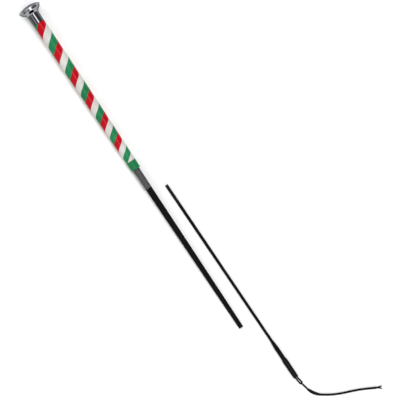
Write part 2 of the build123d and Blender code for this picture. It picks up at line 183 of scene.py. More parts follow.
def add_node(tree, kind, settings=None, links=None, **values):
    """Adds a node; settings are its properties, values its inputs, links its inputs' sources.

    An input with no name of its own is given by its place: i1 is the input at place 1.
    """
    node = tree.nodes.new(kind)
    for name, value in (settings or {}).items():
        setattr(node, name, value)
    for name, value in values.items():
        socket = int(name[1:]) if name[0] == "i" and name[1:].isdigit() else name
        node.inputs[socket].default_value = value
    for name, source in (links or {}).items():
        tree.links.new(source, node.inputs[name])
    return node


def new_material(name):
    """A material, its node tree and its Principled shader."""
    material = bpy.data.materials.new(name)
    material.use_nodes = True
    shader = material.node_tree.nodes["Principled BSDF"]
    return material, material.node_tree, shader


def set_shader(shader, **values):
    """Sets the shader's own sockets; an underscore stands for a space."""
    for name, value in values.items():
        shader.inputs[name.replace("_", " ")].default_value = value


print("black is", linear("#000000"), "and white is", linear("#FFFFFF"))

# %% [markdown]
# ## Patterns
#
# Nothing real is one even colour or evenly smooth. A noise can let the colour
# drift, make some places glossier than others, or raise small bumps. All of
# them read Object coordinates, so a pattern keeps its real size in millimetres
# and stays where it is on the piece.

# %% Pattern helpers
def set_ramp(node, stops):
    """Two or more (position, colour) stops on a colour ramp."""
    elements = node.color_ramp.elements
    while len(elements) < len(stops):
        elements.new(1.0)
    for element, (place, colour) in zip(elements, stops):
        element.position = place
        element.color = colour


def object_noise(tree, scale, detail=3.0, stretch=(1, 1, 1)):
    """Noise on object coordinates; scale is in features per metre."""
    place = add_node(tree, "ShaderNodeTexCoord")
    mapped = add_node(tree, "ShaderNodeMapping", links={"Vector": place.outputs["Object"]},
                      Scale=stretch)
    return add_node(tree, "ShaderNodeTexNoise", links={"Vector": mapped.outputs["Vector"]},
                    Scale=scale, Detail=detail)


def add_bump(tree, shader, height, strength, depth_mm):
    """Lets a height raise small bumps; their depth is in millimetres."""
    bump = add_node(tree, "ShaderNodeBump", links={"Height": height}, Strength=strength,
                    Distance=depth_mm * MM)
    tree.links.new(bump.outputs["Normal"], shader.inputs["Normal"])


def per_metre(size_mm):
    """Texture scale for a feature of this size in millimetres."""
    return 1 / (size_mm * MM)


def roughness_from(tree, shader, height, low, high):
    """Lets a noise drive the roughness between two values."""
    spread = add_node(tree, "ShaderNodeMapRange", links={"Value": height})
    spread.inputs["To Min"].default_value = low
    spread.inputs["To Max"].default_value = high
    tree.links.new(spread.outputs["Result"], shader.inputs["Roughness"])


print("a pattern of 1 mm has the scale", per_metre(1))

# %% [markdown]
# ## Finishing a piece
#
# Every piece ends the same way. Its faces are turned outwards, its mesh is laid
# on its place, and the object itself stays at the origin, unturned. Then it is
# told which body it rides on and gets its material, and the engineer's nodes
# it stands for are hidden.

# %% Piece helpers
def finish_piece(mesh, name, material, body, nodes):
    """Makes a mesh the finished piece: gives its material and body, and hides the nodes it stands for."""
    mesh.materials.clear()
    mesh.materials.append(material)
    mesh.polygons.foreach_set("use_smooth", [True] * len(mesh.polygons))
    piece = bpy.data.objects.new(name, mesh)
    bpy.context.scene.collection.objects.link(piece)
    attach(piece, body)
    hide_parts(*nodes)
    print(name, len(mesh.vertices), "vertices")
    return piece


def mesh_from(bm, name, place=None):
    """Closes a bmesh into a mesh with outward faces, laid on its place."""
    bmesh.ops.recalc_face_normals(bm, faces=bm.faces)
    mesh = bpy.data.meshes.new(name)
    bm.to_mesh(mesh)
    bm.free()
    if place is not None:
        mesh.transform(place)
    return mesh


print("pieces are finished in metres, one unit of a drawing is", MM, "m")

# %% [markdown]
# ## Turned pieces
#
# The cap, the end band and the sleeves are made on a lathe or moulded as if
# they were, so we do the same: draw half of the outline as (along, radius)
# points and turn it about X. A sharp corner on real metal always carries a
# tiny rounding that catches the light, so the outline's corners are eased
# before it is turned.

# %% The lathe
EASE_LIMIT = 0.45


def eased(outline, ease, steps=4):
    """Rounds the inner corners of an outline by a small distance."""
    points = [Vector(outline[0])]
    for before, here, after in zip(outline, outline[1:], outline[2:]):
        before, here, after = Vector(before), Vector(here), Vector(after)
        back, ahead = before - here, after - here
        reach = min(ease, back.length * EASE_LIMIT, ahead.length * EASE_LIMIT)
        start = here + back.normalized() * reach
        end = here + ahead.normalized() * reach
        for i in range(steps + 1):
            t = i / steps
            points.append(start * (1 - t) ** 2 + here * 2 * t * (1 - t) + end * t ** 2)
    return points + [Vector(outline[-1])]


def lathe(outline, name, place, segments=96, closed=False, shape=None):
    """Turns an outline about X. Ends on the axis become single points."""
    bm = bmesh.new()
    rings = []
    for x, radius in outline:
        if radius < 1e-6:
            rings.append([bm.verts.new((x, 0, 0))])
            continue
        ring = []
        for i in range(segments):
            angle = 2 * math.pi * i / segments
            r = radius * (shape(x, angle) if shape else 1)
            ring.append(bm.verts.new((x, r * math.cos(angle), r * math.sin(angle))))
        rings.append(ring)
    pairs = list(zip(rings, rings[1:])) + ([(rings[-1], rings[0])] if closed else [])
    for a, b in pairs:
        for i in range(segments):
            j = (i + 1) % segments
            corners = [a[i % len(a)], a[j % len(a)], b[j % len(b)], b[i % len(b)]]
            corners = list(dict.fromkeys(corners))
            if len(corners) > 2:
                bm.faces.new(corners)
    return mesh_from(bm, name, place)


print("lathe ready")

# %% [markdown]
# ## Chrome
#
# The cap is spun brass with a bright chrome plate. Plated chrome is a nearly
# perfect mirror, slightly cool. What shows that it is metal and not a hole in
# the picture is what breaks the mirror: fine polishing lines round the turned
# form, and the faint haze of handling. Both go into the roughness, not the
# colour. The collar is the same chrome with a darker colour painted on, a
# painted dark reflection, so that it shows one clean bright line between two
# dark sides.

# %% Bright chrome plate
def chrome_plate(name, face_code, edge_code):
    """Face colour is seen straight on; edge colour is seen where the surface turns away."""
    material, tree, shader = new_material(name)
    set_shader(shader, Metallic=1.0, Base_Color=linear(face_code), Specular_Tint=linear(edge_code))
    haze = object_noise(tree, per_metre(9), 4)
    roughness_from(tree, shader, haze.outputs["Fac"], 0.045, 0.13)
    # Real polishing lines are a few hundredths of a millimetre apart, too fine to show.
    lines = object_noise(tree, per_metre(0.6), 2, stretch=(1, 0.08, 0.08))
    add_bump(tree, shader, lines.outputs["Fac"], 0.05, 0.02)
    return material


CHROME = chrome_plate("bright_chrome_plate", "#A5A7AB", "#787A7E")
# The collar's copy is the same chrome painted darker: a painted dark reflection.
COLLAR_CHROME_PAINTED_DARK = chrome_plate("collar_chrome_painted_dark_reflection", "#6C6E73", "#3A3C40")
print("chromes:", CHROME.name, COLLAR_CHROME_PAINTED_DARK.name)

# %% [markdown]
# ## The cap's disc
#
# The disc is a shallow dome pressed from sheet, with its rim rolled over and a
# flat back. The dome is a piece of a large ball, so its radius follows from the
# height and the width. A curve with few points would show flats in a mirror
# finish, so both curves are worked out in fine steps.

# %% Cap face: the domed disc with its rolled rim
RIM_RADIUS = 16.25
RIM_ROUND = 0.9
DOME_HEIGHT = 3.6
DOME_SHARE = 0.985
DOME_STEPS = 24
RIM_STEPS = 12
DISC_BACK = 2.7
DOME_SPHERE = ((RIM_RADIUS - RIM_ROUND) ** 2 + DOME_HEIGHT ** 2) / (2 * DOME_HEIGHT)


def dome_outline():
    """From the apex out over the dome, round the rolled rim to the disc's back."""
    outline = []
    edge = RIM_RADIUS - RIM_ROUND
    for i in range(DOME_STEPS + 1):
        radius = edge * math.sin(math.pi / 2 * i / DOME_STEPS) * DOME_SHARE
        x = -DOME_HEIGHT + DOME_SPHERE - math.sqrt(DOME_SPHERE ** 2 - radius ** 2)
        outline.append((x, radius))
    # The valley between the dome and the rolled rim.
    outline.append((0.22, edge * 0.9915))
    for i in range(RIM_STEPS + 1):
        angle = math.radians(170 - 125 * i / RIM_STEPS)
        outline.append((RIM_ROUND * (1 + math.cos(angle)), edge + RIM_ROUND * math.sin(angle)))
    for corner in ((2.1, 15.62), (2.5, 15.6), (2.66, 15.5), (DISC_BACK, 15.3), (DISC_BACK, 11.2),
                   (DISC_BACK, 0)):
        outline.append(corner)
    return outline


finish_piece(lathe(dome_outline(), "cap_disc", HANDLE, 128), "cap_disc", CHROME,
             "handle_section", ["cap_face"])

# %% [markdown]
# ## The bell and its collar
#
# Behind the disc the cap runs in like a bell and ends in a straight collar that
# takes the grip. It is one turned piece, so one outline makes it: a small bead
# under the disc, the flare, the collar and the open mouth. The faces past the
# neck get the chrome with the painted dark reflection.

# %% Cap socket: the bell and its collar
BELL = ((2.78, 11.2), (2.78, 14.4), (3.78, 14.4), (3.9, 14.95), (4.3, 14.95), (5.0, 14.2),
        (6.2, 12.35), (7.2, 10.8), (8.1, 9.5), (8.8, 8.75), (9.6, 8.36), (10.6, 8.3),
        (23.4, 7.98), (24.0, 7.85), (24.0, 7.2), (12.4, 7.2), (12.4, 0))
PAINTED_DARK_CHROME_FROM = 9.4
cap_bell = finish_piece(lathe(eased(BELL, 0.35), "cap_bell", HANDLE, 128), "cap_bell", CHROME,
                        "handle_section", ["cap_socket"])
cap_bell.data.materials.append(COLLAR_CHROME_PAINTED_DARK)
to_handle = HANDLE.inverted()
# Faces past the neck take the chrome copy with the painted dark reflection.
for face in cap_bell.data.polygons:
    face.material_index = int((to_handle @ face.center).x > PAINTED_DARK_CHROME_FROM)

# %% [markdown]
# ## The spiral tapes
#
# Three glossy PVC tapes, green, red and white, are wound together round a
# moulded core. Their lead gets shorter towards the thin end. Winding is a rule,
# so Geometry Nodes make the tape: a grid whose long side is the angle wound and
# whose short side is the tape's closed outline. For each point the tree works
# out how far along the grip that turn has got, how thick the grip is there and
# puts the point at its angle. The tree's inputs are the sizes a tape has.

# %% A short way to write node maths
class Sums:
    """Adds maths nodes to one Geometry Nodes tree."""

    def __init__(self, tree):
        self.tree = tree

    def fed(self, node, terms):
        """Feeds a node's inputs with numbers or other nodes' outputs; gives its output."""
        for socket, term in zip(node.inputs, terms):
            if isinstance(term, (int, float)):
                socket.default_value = term
            else:
                self.tree.links.new(term, socket)
        return node.outputs[0]

    def __call__(self, operation, *terms):
        return self.fed(add_node(self.tree, "ShaderNodeMath", {"operation": operation}), terms)

    def mix(self, share, low, high):
        return self("MULTIPLY_ADD", share, self("SUBTRACT", high, low), low)

    def vector(self, *terms):
        return self.fed(add_node(self.tree, "ShaderNodeCombineXYZ"), terms)


print("node maths ready")

# %% [markdown]
# ## A tree's beginning, end and use
#
# Every tree here begins with named inputs and ends the same way. Instances are
# made real and the material is set, because what leaves Blender is the plain
# mesh. To use a tree, a modifier gets its sizes by each input's identifier, and
# the finished mesh is taken from the evaluated object.

# %% Tree helpers
def new_tree(name, inputs, whole_numbers=()):
    """A Geometry Nodes tree with named float inputs and a geometry output."""
    tree = bpy.data.node_groups.new(name, "GeometryNodeTree")
    tree.interface.new_socket("Geometry", in_out="INPUT", socket_type="NodeSocketGeometry")
    for label in inputs:
        kind = "NodeSocketInt" if label in whole_numbers else "NodeSocketFloat"
        tree.interface.new_socket(label, in_out="INPUT", socket_type=kind)
    tree.interface.new_socket("Material", in_out="INPUT", socket_type="NodeSocketMaterial")
    tree.interface.new_socket("Geometry", in_out="OUTPUT", socket_type="NodeSocketGeometry")
    tree.nodes.new("NodeGroupInput")
    tree.nodes.new("NodeGroupOutput")
    return tree, tree.nodes["Group Input"].outputs


def end_tree(tree, geometry):
    """Realize the instances, set the material and send the result out."""
    real = add_node(tree, "GeometryNodeRealizeInstances", links={"Geometry": geometry})
    painted = add_node(tree, "GeometryNodeSetMaterial", links={
        "Geometry": real.outputs["Geometry"],
        "Material": tree.nodes["Group Input"].outputs["Material"]})
    tree.links.new(painted.outputs["Geometry"], tree.nodes["Group Output"].inputs[0])


def grown(tree, name, material, sizes):
    """Runs a tree on a holder object and returns the plain mesh it makes."""
    holder = bpy.data.objects.new(name, bpy.data.meshes.new(name + "_base"))
    bpy.context.scene.collection.objects.link(holder)
    modifier = holder.modifiers.new("grow", "NODES")
    modifier.node_group = tree
    for item in tree.interface.items_tree:
        if item.in_out == "INPUT" and item.name in sizes:
            modifier[item.identifier] = sizes[item.name]
        if item.in_out == "INPUT" and item.name == "Material":
            modifier[item.identifier] = material
    evaluated = holder.evaluated_get(bpy.context.evaluated_depsgraph_get())
    mesh = bpy.data.meshes.new_from_object(evaluated)
    mesh.name = name
    holder.modifiers.clear()
    bpy.data.objects.remove(holder)
    return mesh


print("tree helpers ready")

# %% [markdown]
# ## The winding tree
#
# The tree starts from a flat grid that is one unit long and one unit wide. The
# long side becomes the angle wound, and the short side goes once round the
# tape's outline. A tape that only bent along a curve would keep one width, but
# a real one is pulled over a taper and narrows as its lead gets shorter. So the
# tree works out both edges of the tape on their own and lays the grid between
# them.

# %% The winding tree
TAPE_INPUTS = (
    "First Share", "Last Share", "Start Turn", "End Turn", "Low", "High", "Core Start", "Core End",
    "Bulge", "Thickness", "Tuck", "First Crossing", "First Lead", "Lead Ratio", "Grip Start",
    "Grip End", "Steps", "Outline Steps")
OUTLINE_SQUARENESS = 0.35


def winding_tree():
    """A grid wound into one tape along the grip."""
    tree, given = new_tree("wound_tape", TAPE_INPUTS, ("Steps", "Outline Steps"))
    sums = Sums(tree)
    grid = add_node(tree, "GeometryNodeMeshGrid", links={
        "Vertices X": given["Steps"], "Vertices Y": given["Outline Steps"]},
        **{"Size X": 1.0, "Size Y": 1.0})
    place = add_node(tree, "GeometryNodeInputPosition")
    split = add_node(tree, "ShaderNodeSeparateXYZ", links={"Vector": place.outputs[0]})
    wound = sums("ADD", split.outputs["X"], 0.5)
    round_outline = sums("MULTIPLY", sums("ADD", split.outputs["Y"], 0.5), 2 * math.pi)

    # The tape's closed outline is a flat rounded bar: a squared-off ellipse.
    wide, high = sums("COSINE", round_outline), sums("SINE", round_outline)

    def squared(wave):
        size = sums("POWER", sums("ABSOLUTE", wave), OUTLINE_SQUARENESS)
        return sums("MULTIPLY_ADD", sums("MULTIPLY", sums("SIGN", wave), size), 0.5, 0.5)

    across, up = squared(wide), squared(high)

    # How far along the grip each edge has got after this many turns.
    turn = sums.mix(wound, given["Start Turn"], given["End Turn"])

    def crossing(share):
        left = sums("POWER", given["Lead Ratio"], sums("ADD", turn, share))
        run = sums("DIVIDE", sums("SUBTRACT", 1.0, left),
                   sums("SUBTRACT", 1.0, given["Lead Ratio"]))
        x = sums("MULTIPLY_ADD", run, given["First Lead"], given["First Crossing"])
        return sums("MINIMUM", sums("MAXIMUM", x, given["Low"]), given["High"])

    x = sums.mix(across, crossing(given["First Share"]), crossing(given["Last Share"]))

    # The grip's radius there, plus the tape's own height. One edge is tucked under its
    # neighbour.
    share = sums("DIVIDE", sums("SUBTRACT", x, given["Grip Start"]),
                 sums("SUBTRACT", given["Grip End"], given["Grip Start"]))
    straight = sums.mix(share, given["Core Start"], given["Core End"])
    barrel = sums("MULTIPLY", sums("MULTIPLY", share, sums("SUBTRACT", 1.0, share)),
                  sums("MULTIPLY", given["Bulge"], 2.0))
    lift = sums("MULTIPLY", up, sums("SUBTRACT", given["Thickness"],
                                     sums("MULTIPLY", given["Tuck"], across)))
    radius = sums("ADD", sums("ADD", straight, barrel), lift)
    # After whole turns a tape crosses the top of the grip.
    angle = sums("MULTIPLY", sums("ADD", turn, 0.25), 2 * math.pi)
    moved = add_node(tree, "GeometryNodeSetPosition", links={
        "Geometry": grid.outputs["Mesh"],
        "Position": sums.vector(x, sums("MULTIPLY", radius, sums("COSINE", angle)),
                                sums("MULTIPLY", radius, sums("SINE", angle)))})
    closed = add_node(tree, "GeometryNodeMergeByDistance",
                      links={"Geometry": moved.outputs["Geometry"]}, Distance=0.002)
    end_tree(tree, closed.outputs["Geometry"])
    return tree


WINDING = winding_tree()
print("winding tree:", len(WINDING.nodes), "nodes")

# %% [markdown]
# ## Glossy PVC grip tape
#
# The tapes are thin, shiny PVC. Under a studio light such tape shows one
# narrow bright line and a fast fall to a darker shade at the sides, because
# the gloss is sharp and the colour is deep. Three things make it tape and not
# paint: it is pulled slightly uneven along its length, its surface has a very
# fine orange-peel, and it picks up faint lengthwise creases. PVC has an IOR of
# about 1.53.

# %% Tape material
PVC_IOR = 1.53
TAPE_ROUGHNESS = 0.26
TAPE_GLOSS = 0.11


def pvc_tape(name, light_code, dark_code):
    """Calendered PVC: deep even colour, a soft bright line and a very fine orange-peel."""
    material, tree, shader = new_material(name)
    set_shader(shader, Roughness=TAPE_ROUGHNESS, IOR=PVC_IOR, Specular_IOR_Level=TAPE_GLOSS)
    drift = object_noise(tree, per_metre(14), 3)
    ramp = add_node(tree, "ShaderNodeValToRGB", links={"Fac": drift.outputs["Fac"]})
    set_ramp(ramp, ((0.3, linear(dark_code)), (0.7, linear(light_code))))
    tree.links.new(ramp.outputs["Color"], shader.inputs["Base Color"])
    peel = object_noise(tree, per_metre(1.1), 4)
    pull = object_noise(tree, per_metre(4), 2, stretch=(0.35, 1, 1))
    both = add_node(tree, "ShaderNodeMath", {"operation": "MULTIPLY_ADD"}, links={
        0: peel.outputs["Fac"], 2: pull.outputs["Fac"]}, i1=0.3)
    add_bump(tree, shader, both.outputs[0], 0.35, 0.12)
    return material


GREEN_TAPE = pvc_tape("green_pvc_tape", "#238454", "#1B7042")
RED_TAPE = pvc_tape("red_pvc_tape", "#C1091E", "#AD0514")
WHITE_TAPE = pvc_tape("white_pvc_tape", "#D5D3CF", "#C9C7C1")
print("tapes:", GREEN_TAPE.name, RED_TAPE.name, WHITE_TAPE.name)

# %% [markdown]
# ## Winding the tapes
#
# Each tape takes a third of every turn. They start at the collar's edge and end
# at the band's, and are cut square at both. The red tape stops early, and a
# second piece of white takes its place. Where two tapes meet there is a hair's
# breadth between them, which keeps them separate pieces.

# %% Wind the tapes
FIRST_CROSSING = 51.7
FIRST_LEAD = 40.2
LEAD_RATIO = 0.948
COLLAR_END = 24.0
GRIP_END = 260.1
BAND_START = 247.4
PIECE_GAP = 0.05
TAPE_LOW = COLLAR_END + PIECE_GAP
TAPE_HIGH = BAND_START - PIECE_GAP
CORE_START = 7.83
CORE_END = 6.13
GRIP_BULGE = 0.77
TAPE_THICKNESS = 0.52
TAPE_TUCK = 0.12
TAPE_GAP = 0.05
END_ROOM = 0.3
RED_STOPS_AFTER = 4.5
LAP_GAP = 0.003
POINTS_PER_TURN = 72
OUTLINE_POINTS = 49


def turns_at(x):
    """Turns wound when an edge reaches a place along the grip."""
    return math.log(1 - (x - FIRST_CROSSING) * (1 - LEAD_RATIO) / FIRST_LEAD) / math.log(LEAD_RATIO)


def wind(name, material, first, last, nodes, start=None, end=None):
    """Winds one tape over its share of each turn, from start to end in turns."""
    gap = TAPE_GAP / FIRST_LEAD
    begin = turns_at(TAPE_LOW + END_ROOM) - last if start is None else start
    finish = turns_at(TAPE_HIGH - END_ROOM) - first if end is None else end
    sizes = {
        "First Share": first + gap, "Last Share": last - gap,
        "Start Turn": begin, "End Turn": finish,
        "Low": TAPE_LOW, "High": TAPE_HIGH, "Core Start": CORE_START, "Core End": CORE_END,
        "Bulge": GRIP_BULGE, "Thickness": TAPE_THICKNESS, "Tuck": TAPE_TUCK,
        "First Crossing": FIRST_CROSSING, "First Lead": FIRST_LEAD, "Lead Ratio": LEAD_RATIO,
        "Grip Start": COLLAR_END, "Grip End": GRIP_END,
        "Steps": int((finish - begin) * POINTS_PER_TURN), "Outline Steps": OUTLINE_POINTS}
    mesh = grown(WINDING, name, material, sizes)
    bm = bmesh.new()
    bm.from_mesh(mesh)
    bmesh.ops.remove_doubles(bm, verts=bm.verts, dist=0.001)
    bmesh.ops.holes_fill(bm, edges=bm.edges, sides=0)
    mesh = mesh_from(bm, name, HANDLE)
    return finish_piece(mesh, name, material, "handle_section", nodes)


wind("green_tape", GREEN_TAPE, 0, 1 / 3, ["grip_tape_green"])
wind("red_tape", RED_TAPE, 1 / 3, 2 / 3, ["grip_tape_red"], end=RED_STOPS_AFTER)
wind("white_tape", WHITE_TAPE, 2 / 3, 1, ["grip_tape_white"])
wind("white_tape_lap", WHITE_TAPE, 1 / 3, 2 / 3, ["grip_tape_white_lap"],
     start=RED_STOPS_AFTER + LAP_GAP)

# %% [markdown]
# ## The end band
#
# One straight lap of the same green tape covers the ends of the wound tapes.
# It is a short turned band with soft edges, and it narrows as the grip does.

# %% Green end band
BAND = ((BAND_START, 6.3), (BAND_START, 6.96), (BAND_START + 3, 6.9), (BAND_START + 9, 6.8),
        (GRIP_END, 6.78), (GRIP_END, 6.2))
finish_piece(lathe(eased(BAND, 0.3), "end_band", HANDLE, 96, closed=True), "end_band", GREEN_TAPE,
             "handle_section", ["grip_end_band"])

# %% [markdown]
# ## Braided covers
#
# Both shafts wear a cover braided from black nylon thread, drawn tight over a
# fibreglass rod. A braid is two families of threads winding opposite ways and
# passing over and under each other. That is a rule along a path, so Geometry
# Nodes make it: a straight line is copied once for each thread, every copy is
# bent into its own helix, and its radius rises and falls as it crosses the
# others. A plain tapered skin under the threads closes the gaps.

# %% The braiding tree
BRAID_INPUTS = ("Start", "Length", "Start Radius", "End Radius", "Threads", "Turns", "Wave",
                "Thread Radius", "Steps", "Hand")
THREAD_SIDES = 5


def end_in_threads(tree, curves, radius):
    """Ends a tree with a closed tube of the given radius along every curve."""
    section = add_node(tree, "GeometryNodeCurvePrimitiveCircle", Resolution=THREAD_SIDES)
    tree.links.new(radius, section.inputs["Radius"])
    tube = add_node(tree, "GeometryNodeCurveToMesh",
                    links={"Curve": curves, "Profile Curve": section.outputs["Curve"]},
                    **{"Fill Caps": True})
    end_tree(tree, tube.outputs["Mesh"])


def braiding_tree():
    """One family of threads wound about X between two radii."""
    tree, given = new_tree("braid", BRAID_INPUTS, ("Threads", "Steps"))
    sums = Sums(tree)
    line = add_node(tree, "GeometryNodeCurvePrimitiveLine",
                    **{"Start": (0, 0, 0), "End": (1, 0, 0)})
    fine = add_node(tree, "GeometryNodeResampleCurve", links={
        "Curve": line.outputs["Curve"], "Count": given["Steps"]})
    copies = add_node(tree, "GeometryNodeDuplicateElements", {"domain": "SPLINE"}, links={
        "Geometry": fine.outputs["Curve"], "Amount": given["Threads"]})
    place = add_node(tree, "GeometryNodeInputPosition")
    along = add_node(tree, "ShaderNodeSeparateXYZ", links={"Vector": place.outputs[0]}).outputs["X"]
    share = sums("DIVIDE", copies.outputs["Duplicate Index"], given["Threads"])
    turn = sums("MULTIPLY_ADD", sums("MULTIPLY", along, given["Turns"]), given["Hand"], share)
    angle = sums("MULTIPLY", turn, 2 * math.pi)
    # A thread meets each thread of the other family twice a turn, over and under by turns.
    beat = sums("MULTIPLY", sums("MULTIPLY", along, given["Turns"]), given["Threads"])
    wave = sums("COSINE", sums("MULTIPLY", beat, 2 * math.pi))
    swing = sums("MULTIPLY", sums("MULTIPLY", wave, given["Wave"]), given["Hand"])
    radius = sums("ADD", sums.mix(along, given["Start Radius"], given["End Radius"]), swing)
    x = sums("MULTIPLY_ADD", along, given["Length"], given["Start"])
    bent = add_node(tree, "GeometryNodeSetPosition", links={
        "Geometry": copies.outputs["Geometry"],
        "Position": sums.vector(x, sums("MULTIPLY", radius, sums("COSINE", angle)),
                                sums("MULTIPLY", radius, sums("SINE", angle)))})
    end_in_threads(tree, bent.outputs["Geometry"], given["Thread Radius"])
    return tree


BRAIDING = braiding_tree()
print("braiding tree:", len(BRAIDING.nodes), "nodes")

# %% [markdown]
# ## Black nylon thread
#
# The covers, the whippings and the lash are spun nylon, dyed black, waxed and
# laid tight. It is nearly black, with a soft lustre that never gets bright. One
# flat black would look like a hole in the picture, so a slow noise lets the dye
# drift a little, and fine bumps stand for the fibres. Real fibres are 0.03 mm
# thick. They are drawn at 0.25 mm, so that they show.

# %% Black nylon thread
BLACK_GLOSS = 0.1
FIBRE = 0.25


def black_nylon(name, roughness, sheen):
    """Waxed, tightly laid nylon: nearly black, with a soft lustre along the threads."""
    material, tree, shader = new_material(name)
    set_shader(shader, Roughness=roughness, IOR=1.53, Specular_IOR_Level=BLACK_GLOSS,
               Sheen_Weight=sheen, Sheen_Roughness=0.4)
    drift = object_noise(tree, per_metre(2.5), 4)
    ramp = add_node(tree, "ShaderNodeValToRGB", links={"Fac": drift.outputs["Fac"]})
    set_ramp(ramp, ((0.3, linear("#040405")), (0.75, linear("#0E0E0F"))))
    tree.links.new(ramp.outputs["Color"], shader.inputs["Base Color"])
    fibre = object_noise(tree, per_metre(FIBRE), 2)
    add_bump(tree, shader, fibre.outputs["Fac"], 0.3, 0.04)
    return material


BRAID_BLACK = black_nylon("black_braided_nylon", 0.42, 0.0)
LASH_BLACK = black_nylon("black_plaited_lash_cord", 0.5, 0.02)
THREAD_BLACK = black_nylon("waxed_black_thread", 0.3, 0.0)
print("threads:", BRAID_BLACK.name, LASH_BLACK.name, THREAD_BLACK.name)

# %% [markdown]
# ## Braiding the covers
#
# The turns are rounded so that every thread has a whole number of waves. Then
# the two families pass over and under each other all the way along, and no two
# threads run through each other. The skin lies just under the crossings. Both
# covers end flush with the pieces beside them.

# %% Braid a cover
WAVE_SHARE = 0.45
SKIN_DEPTH = 1.1
SKIN_INSIDE = 3


def joined(meshes, name):
    """One mesh out of several."""
    bm = bmesh.new()
    for mesh in meshes:
        bm.from_mesh(mesh)
    result = bpy.data.meshes.new(name)
    bm.to_mesh(result)
    bm.free()
    return result


def braid_cover(name, place, body, nodes, ends, radii, threads, lead, thread):
    """Two families of threads over a plain skin. The radii are the cover's outside."""
    (start, end), (start_radius, end_radius) = ends, radii
    turns = round((end - start) / lead * threads) / threads
    wave = thread * WAVE_SHARE
    centre = thread + wave * 0.3
    common = {"Start": start + thread, "Length": end - start - 2 * thread,
              "Start Radius": start_radius - centre, "End Radius": end_radius - centre,
              "Threads": threads, "Turns": turns, "Wave": wave, "Thread Radius": thread,
              "Steps": round(turns * threads * 4) + 1}
    families = [grown(BRAIDING, name, BRAID_BLACK, {**common, "Hand": hand})
                for hand in (1.0, -1.0)]
    outside, inside = SKIN_DEPTH * thread, SKIN_INSIDE * thread
    skin = lathe([(start, start_radius - inside), (start, start_radius - outside),
                  (end, end_radius - outside), (end, end_radius - inside)],
                 name + "_skin", None, 48, closed=True)
    mesh = joined([*families, skin], name)
    mesh.transform(place)
    return finish_piece(mesh, name, BRAID_BLACK, body, nodes)


SHAFT_ROOT_RADIUS = 4.637
SHAFT_END_RADIUS = 3.1
SOCKET_FLANGE = 3.0
braid_cover("shaft_braid", HANDLE, "handle_section", ["shaft_cover"],
            (GRIP_END + PIECE_GAP, HANDLE_LENGTH - SOCKET_FLANGE - PIECE_GAP),
            (SHAFT_ROOT_RADIUS, SHAFT_END_RADIUS + 0.02), threads=16, lead=30.0, thread=0.42)

TIP_RADIUS = 2.15
TIP_TAPER = 0.2 / 224
SPIGOT_LENGTH = 30.0
KEEPER_BACK = 30.0
tip_end_radius = TIP_RADIUS - TIP_TAPER * (TIP_LENGTH - KEEPER_BACK - SPIGOT_LENGTH)
braid_cover("tip_braid", TIP, "tip_section", ["tip_cover"],
            (SPIGOT_LENGTH + PIECE_GAP, TIP_LENGTH - KEEPER_BACK), (TIP_RADIUS, tip_end_radius),
            threads=10, lead=16.0, thread=0.3)

# %% [markdown]
# ## Materials of the engineer's own pieces
#
# Some pieces have the right shape already: the rods, the screw, the socket,
# the spigot, the keeper's resin and the grip's core. They keep their shape and
# only get a finish. The rods are pultruded fibreglass, whose fibres run
# lengthwise. The socket and the spigot are lacquered black. The core is matt
# moulded foam plastic, and the screw is plated steel.

# %% Finishes for the plain pieces
def fibreglass():
    """Pultruded rod: a dark satin gloss broken by streaks along its length."""
    material, tree, shader = new_material("black_pultruded_fibreglass")
    set_shader(shader, Base_Color=linear("#101010"), IOR=1.52, Specular_IOR_Level=0.2)
    # Real fibres are 0.02 mm thick. They are drawn as wider streaks, so that they show.
    grain = object_noise(tree, per_metre(0.5), 3, stretch=(0.05, 1, 1))
    roughness_from(tree, shader, grain.outputs["Fac"], 0.25, 0.45)
    add_bump(tree, shader, grain.outputs["Fac"], 0.2, 0.03)
    return material


def black_lacquer():
    """Lacquer sprayed on brass: satin black with the faintest orange-peel."""
    material, tree, shader = new_material("satin_black_lacquered_brass")
    set_shader(shader, Base_Color=linear("#0B0B0C"), Roughness=0.4, Specular_IOR_Level=0.12)
    peel = object_noise(tree, per_metre(0.7), 3)
    add_bump(tree, shader, peel.outputs["Fac"], 0.12, 0.03)
    return material


def moulded_core():
    """Moulded foam plastic: matt and slightly pitted, drawn coarser than it is."""
    material, tree, shader = new_material("matt_moulded_grip_core")
    set_shader(shader, Base_Color=linear("#202020"), Roughness=0.8, IOR=1.5)
    cells = object_noise(tree, per_metre(0.4), 3)
    add_bump(tree, shader, cells.outputs["Fac"], 0.3, 0.08)
    return material


def zinc_steel():
    """Zinc-plated steel: a pale metal whose gloss is cloudy."""
    material, tree, shader = new_material("zinc_plated_steel")
    set_shader(shader, Base_Color=linear("#CCCFD1"), Metallic=1.0)
    drift = object_noise(tree, per_metre(1.5), 3)
    roughness_from(tree, shader, drift.outputs["Fac"], 0.28, 0.42)
    return material


FIBREGLASS = fibreglass()
LACQUER = black_lacquer()
CORE = moulded_core()
STEEL = zinc_steel()
KEPT = {
    "shaft_rod": FIBREGLASS, "tip_rod": FIBREGLASS, "socket_tube": LACQUER,
    "spigot_sleeve": LACQUER, "grip_core": CORE, "cap_screw": STEEL, "keeper_filler": LACQUER,
}
for node_name, finish in KEPT.items():
    node = frame["nodes"][node_name]
    node.data.materials.clear()
    node.data.materials.append(finish)
print("kept nodes:", ", ".join(KEPT))

# %% [markdown]
# ## The clear sleeve
#
# A strip of clear film is folded round the shaft beside the grip, and its two
# ends are stuck together in a flap that stands out to one side. Film is drawn
# here as a thin closed wall with a teardrop section. It is a little grey, so it
# dulls the black shaft behind it and dims the white table under the flap.

# %% Clear film
SLEEVE_START = GRIP_END + PIECE_GAP
SLEEVE_LENGTH = 31.2
SLEEVE_PLAY = 0.083
FILM = 0.22
FOLD_RADIUS = 0.03
FLAP_REACH = 7.2
FLAP_RIPPLE = 0.25
RIPPLE_RATE = 0.42
LENGTH_STEPS = 16
ROUND_STEPS = 48
FOLD_STEPS = 6


